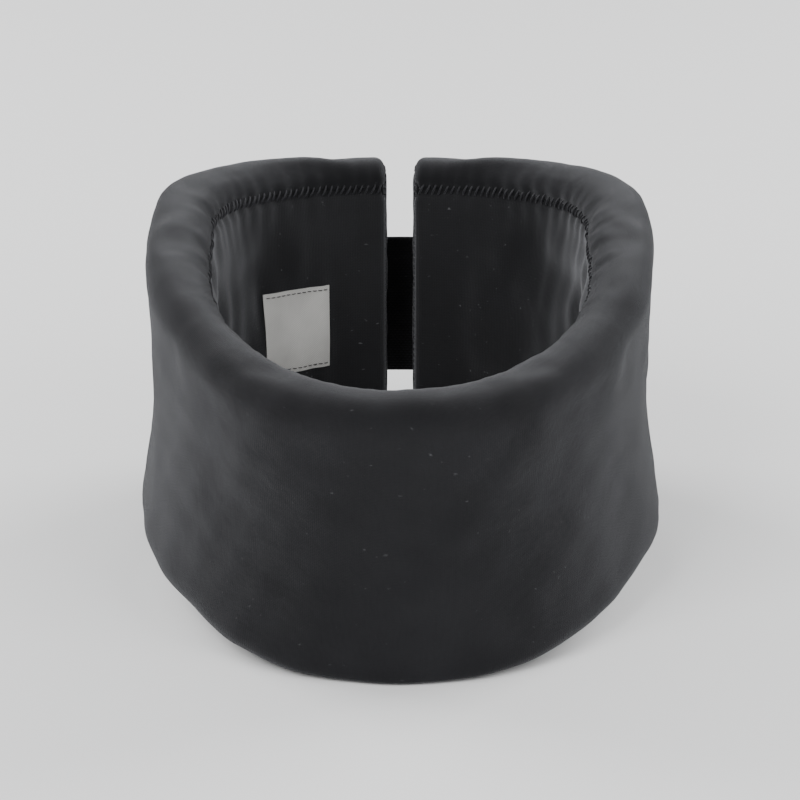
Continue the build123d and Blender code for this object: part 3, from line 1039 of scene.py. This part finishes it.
# ---------------------------------------------------------------- the closure at the nape
# Places are x along the nape, z up, and a level outwards from the cover's plain outline.
STRAP_Z = 51 * MM
STRAP_TALL = 50 * MM
BASE_X = (-47 * MM, -7 * MM)
TIP_X = 58 * MM
HOOK_X = (12 * MM, 48.5 * MM)
PAD_X = (9 * MM, 66 * MM)
PAD_TALL = 58 * MM
STRAP_LEVELS = (2.95 * MM, 4.35 * MM)
PAD_LEVELS = (-0.35 * MM, 1.6 * MM)
STRAP_TRACK = 3.6 * MM  # level at which places along the strap are measured
PAD_TRACK = 0.8 * MM
LOCKSTITCH = 2.7 * MM
NAPE_T = np.linspace(0, nape.length, 4000)
NAPE_BASE, NAPE_OUT = nape.at(NAPE_T)


def on_nape(x, z, level, track=STRAP_TRACK):
    """Point, outward direction and length along the nape for places on the closure."""
    t = np.interp(x, NAPE_BASE[:, 0] + NAPE_OUT[:, 0] * track, NAPE_T)
    base, out = nape.at(t)
    xy = base + out * np.asarray(level * np.ones_like(t))[..., None]
    p = np.concatenate([xy, np.asarray(z)[..., None]], -1)
    n = np.concatenate([out, 0 * out[..., :1]], -1)
    return p, n, t


def edge_steps(low, high, edge, cell=0.9 * MM):
    """Places from low to high, packed close at both ends so that an edge can be rounded."""
    turn = np.linspace(0, QUARTER, 5)[:-1]
    near = low + edge * (1 - np.cos(turn))
    far = high - edge * (1 - np.cos(turn))
    middle = np.linspace(low + edge, high - edge, max(3, int((high - low) / cell)))
    return np.concatenate([near, middle, far[::-1]])


def off_lines(lines, x, z):
    """Distance of places from the nearest of the straight lines ((x, z), (x, z))."""
    best = np.full(np.shape(x), 1.0)
    for (ax, az), (bx, bz) in lines:
        dx, dz = bx - ax, bz - az
        t = np.clip(((x - ax) * dx + (z - az) * dz) / (dx * dx + dz * dz), 0, 1)
        best = np.minimum(best, np.hypot(x - ax - t * dx, z - az - t * dz))
    return best


def slab(name, x_range, tall, levels, edge, corners, track=STRAP_TRACK, top_by=None, all_by=None):
    """A flat piece laid round the nape, with rounded edges and, at either end, rounded corners."""
    low_x, high_x = x_range
    x = edge_steps(low_x, high_x, edge)[:, None]
    v = edge_steps(-tall / 2, tall / 2, edge)[None, :] / (tall / 2)
    half = np.full_like(x, tall / 2)
    for corner, away in zip(corners, (x - low_x, high_x - x)):
        if corner:
            half = half - corner + np.sqrt(corner ** 2 - np.clip(corner - away, 0, corner) ** 2)
    z = v * half
    x = x + 0 * z
    rim = np.minimum(np.minimum(x - low_x, high_x - x), (1 - np.abs(v)) * half)
    swell = np.sqrt(1 - (1 - np.clip(rim / edge, 0, 1)) ** 2)
    middle, thick = (levels[0] + levels[1]) / 2, (levels[1] - levels[0]) / 2
    both = 0 if all_by is None else all_by(x, z)
    extra = 0 if top_by is None else top_by(x, z) * swell
    top, _, t = on_nape(x, z + STRAP_Z, middle + thick * swell + both + extra, track)
    low, _, _ = on_nape(x, z + STRAP_Z, middle - thick * swell + both, track)
    rows, cols = x.shape
    above = np.arange(rows * cols).reshape(rows, cols)
    inner = np.zeros((rows, cols), bool)
    inner[1:-1, 1:-1] = True
    below = above.copy()
    below[inner] = rows * cols + np.arange(inner.sum())
    verts = np.vstack([top.reshape(-1, 3), low[inner]])
    place = np.stack([t, z], -1)
    uv = np.vstack([place.reshape(-1, 2), place[inner]])
    return outward(new_object(name, verts, quads(above) + quads(below, flip=True), uv))


def sewn(name, lines, level, body, stands_for, thread=0.24 * MM, lift=0.1 * MM, track=STRAP_TRACK):
    """Rows of lockstitch along straight lines on the closure."""
    rows = []
    for (ax, az), (bx, bz) in lines:
        t = np.linspace(0.02, 0.98, 40)
        p, n, _ = on_nape(ax + (bx - ax) * t, az + (bz - az) * t + STRAP_Z, level, track)
        rows.append((p, n, False))
    obj = stitches(name, rows, LOCKSTITCH, LOCKSTITCH * 0.82, thread, slant=0.06, lift=lift)
    return dress(obj, "thread", stands_for, body=body)


def box_lines(x_range, tall):
    (a, b), h = x_range, tall / 2
    return [((a, -h), (b, -h)), ((b, -h), (b, h)), ((b, h), (a, h)), ((a, h), (a, -h))]


def tufts(name, x_range, tall, level, facing, slot, body, values, step, track=STRAP_TRACK):
    """Hooks in rows, or loops scattered, on a stretch of the closure."""
    x = np.arange(x_range[0], x_range[1], step)[:, None]
    z = np.arange(-tall / 2, tall / 2, step)[None, :]
    x, z = x + 0 * z, z + 0 * x
    p, n, _ = on_nape(x, z + STRAP_Z, level, track)
    ground = new_object("ground", p.reshape(-1, 3), quads(np.arange(x.size).reshape(x.shape)))
    with_normals(ground.data, n * facing)
    obj = grown(name, ground, TUFT_TREE, {**values, "Material": MATERIALS[slot]})
    return dress(obj, slot, body=body)


def webbing_wave(x, z):
    """Small unevenness of a sewn strap, and the tip standing a little proud."""
    place = np.stack([x, z, 0 * x], -1)
    lift = 0.9 * MM * smooth(x, TIP_X - 9 * MM, TIP_X) * (0.4 + 0.6 * smooth(z, -25 * MM, 25 * MM))
    free = smooth(x, -7 * MM, 0) * (1 - smooth(x, 6 * MM, 12 * MM))
    return 0.1 * MM * waves(place, 14 * MM, 41) + lift - 0.35 * MM * free * np.cos(z / STRAP_TALL * 3)


BOX_X = (BASE_X[0] + 3 * MM, BASE_X[1] - 3 * MM)
BOX_TALL = STRAP_TALL - 6 * MM
CROSS_LINES = [((BOX_X[0], -way * BOX_TALL / 2), (BOX_X[1], way * BOX_TALL / 2)) for way in (1, -1)]
BASE_LINES = box_lines(BOX_X, BOX_TALL) + CROSS_LINES
HOOK_LINES = box_lines((HOOK_X[0] + 1.4 * MM, HOOK_X[1] - 1.4 * MM), STRAP_TALL - 6.4 * MM)
PAD_LINES = box_lines((PAD_X[0] + 1.8 * MM, PAD_X[1] - 1.8 * MM), PAD_TALL - 3.6 * MM)

strap = slab("closure_strap", (BASE_X[0], TIP_X), STRAP_TALL, STRAP_LEVELS, 0.6 * MM, corners=(0, 8 * MM),
             all_by=webbing_wave,
             top_by=lambda x, z: -0.3 * MM * bell(off_lines(BASE_LINES + HOOK_LINES, x, z), 0.9 * MM))
dress(strap, "webbing", "strap_base", "closure_tab", "tab_tip")
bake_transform(strap)

patch = slab("strap_backing", (BASE_X[0] + 0.4 * MM, BASE_X[1] - 0.6 * MM), STRAP_TALL - 1 * MM,
             (-0.35 * MM, 3.0 * MM), 1.3 * MM, corners=(1.5 * MM, 1.5 * MM))
dress(patch, "lining_knit", "strap_patch", body="left_wing")

hook_base = slab("hook_tape", HOOK_X, STRAP_TALL - 4 * MM, (2.4 * MM, 3.0 * MM), 0.4 * MM,
                 corners=(1 * MM, 1 * MM))
dress(hook_base, "hook_tape", "hook_patch", body="tab")
HOOKS = {
    "Scattered": False, "Density": 0.0, "Height": 0.52 * MM, "Thread": 0.08 * MM, "Closed": 0.0, "Lean": 0.0}
tufts("hooks", (HOOK_X[0] + 1.2 * MM, HOOK_X[1] - 0.8 * MM), STRAP_TALL - 6 * MM, 2.42 * MM, -1,
      "hook_tape", "tab", HOOKS, 1.25 * MM)

pad = slab("loop_patch", PAD_X, PAD_TALL, PAD_LEVELS, 0.9 * MM, corners=(3 * MM, 3 * MM), track=PAD_TRACK,
           top_by=lambda x, z: 0.05 * MM * waves(np.stack([x, z, 0 * x], -1), 5 * MM, 51)
           - 0.4 * MM * bell(off_lines(PAD_LINES, x, z), 1.0 * MM))
dress(pad, "loop_pile", "loop_pad")
bends(pad, "right")
LOOPS = {
    "Scattered": True, "Density": 900000.0, "Height": 0.3 * MM, "Thread": 0.05 * MM, "Closed": 1.0,
    "Lean": 0.5}
tufts("loops", (PAD_X[0] + 3 * MM, PAD_X[1] - 3 * MM), PAD_TALL - 6 * MM, 1.56 * MM, 1,
      "loop_pile", "right_wing", LOOPS, 3 * MM, track=PAD_TRACK)

sewn("strap_box_stitches", BASE_LINES, STRAP_LEVELS[1] - 0.2 * MM, "left_wing", "strap_stitching")
sewn("hook_tape_stitches", HOOK_LINES, STRAP_LEVELS[1] - 0.2 * MM, "tab", "hook_stitching")
sewn("loop_patch_stitches", PAD_LINES, PAD_LEVELS[1] - 0.3 * MM, "right_wing", "loop_pad_stitching",
     thread=0.2 * MM, lift=0.02 * MM, track=PAD_TRACK)


# ---------------------------------------------------------------- the blank care label, sewn inside
LABEL_X = (-46 * MM, -24 * MM)
LABEL_Z = (41 * MM, 71 * MM)
LABEL_ROWS = 27
LABEL_COLS = 33


def label_grid(edge, above):
    """Places on the label, following the lining under it."""
    table = np.linspace(0, 0.25 * ring.length, 2000)
    base, out = ring.at(table)
    inner_x = (base - out * WALL)[:, 0]
    s = np.interp(np.linspace(LABEL_X[1] - edge, LABEL_X[0] + edge, LABEL_ROWS), inner_x[::-1], table[::-1])
    high = upper_edge(np.array([55 * MM]))[0]
    z = np.linspace(LABEL_Z[0] + edge, LABEL_Z[1] - edge, LABEL_COLS)
    q = 3 + (z - ROLL) / (high - 2 * ROLL)
    p, n = soft_wall(s, q, quiet=0.85)
    return p + n * above, n


p, n = label_grid(0, 0.5 * MM)
across = np.linalg.norm(np.diff(p[:, LABEL_COLS // 2], axis=0), axis=1).sum()
down = np.linalg.norm(np.diff(p[LABEL_ROWS // 2], axis=0), axis=1).sum()
place = np.meshgrid(np.linspace(0, across, LABEL_ROWS), np.linspace(0, down, LABEL_COLS), indexing="ij")
label = sheet_shell("care_label_sheet", p, n, 0.22 * MM, np.stack(place, -1))
dress(label, "label_satin", "care_label")
bends(label, "left")
p, n = label_grid(1.4 * MM, 0.52 * MM)
rows = [(p[:, 0], n[:, 0], False), (p[:, -1], n[:, -1], False)]
label_sewing = stitches("care_label_stitches", rows, 1.9 * MM, 1.5 * MM, 0.16 * MM, lift=0.06 * MM)
dress(label_sewing, "thread", "care_label_stitching")
bends(label_sewing, "left")


# ---------------------------------------------------------------- camera, light, floor
def aimed(name, data, place, target):
    """A lamp or camera at a place, turned towards a target."""
    obj = in_scene(name, data)
    obj.location = place
    obj.rotation_mode = "QUATERNION"
    obj.rotation_quaternion = (Vector(target) - Vector(place)).to_track_quat("-Z", "Y")
    return obj


def stage_scene():
    mesh = bpy.data.meshes.new("floor")
    mesh.from_pydata([(-4, -4, 0), (4, -4, 0), (4, 4, 0), (-4, 4, 0)], [], [(0, 1, 2, 3)])
    mat, tree, shader = material("studio_floor")
    fill(tree, shader, {"Base Color": (0.8, 0.8, 0.8, 1), "Roughness": 0.8})
    mesh.materials.append(mat)
    in_scene("floor", mesh)
    scene = bpy.context.scene
    scene.world = bpy.data.worlds.new("studio")
    scene.world.use_nodes = True
    fill(scene.world.node_tree, scene.world.node_tree.nodes["Background"], {
        "Color": (0.86, 0.87, 0.88, 1), "Strength": 0.75})
    for name, place, size, power in (
            ("key", (-0.7, -0.9, 1.1), 0.9, 16), ("fill", (0.9, -0.7, 0.7), 0.9, 8),
            ("rim_left", (-0.8, 0.5, 0.6), 0.5, 9), ("rim_right", (0.8, 0.5, 0.6), 0.5, 9)):
        lamp = bpy.data.lights.new(name, "AREA")
        lamp.size = size
        lamp.energy = power
        aimed(name, lamp, place, (0, 0, 0.05))
    camera = bpy.data.cameras.new("camera")
    camera.lens = 180
    camera.sensor_width = 36
    tilt = math.radians(25)
    middle = Vector((0, 0, 0.055))
    eye = middle + Vector((0, -math.cos(tilt), math.sin(tilt))) * 1.3
    scene.camera = aimed("camera", camera, eye, middle)


stage_scene()
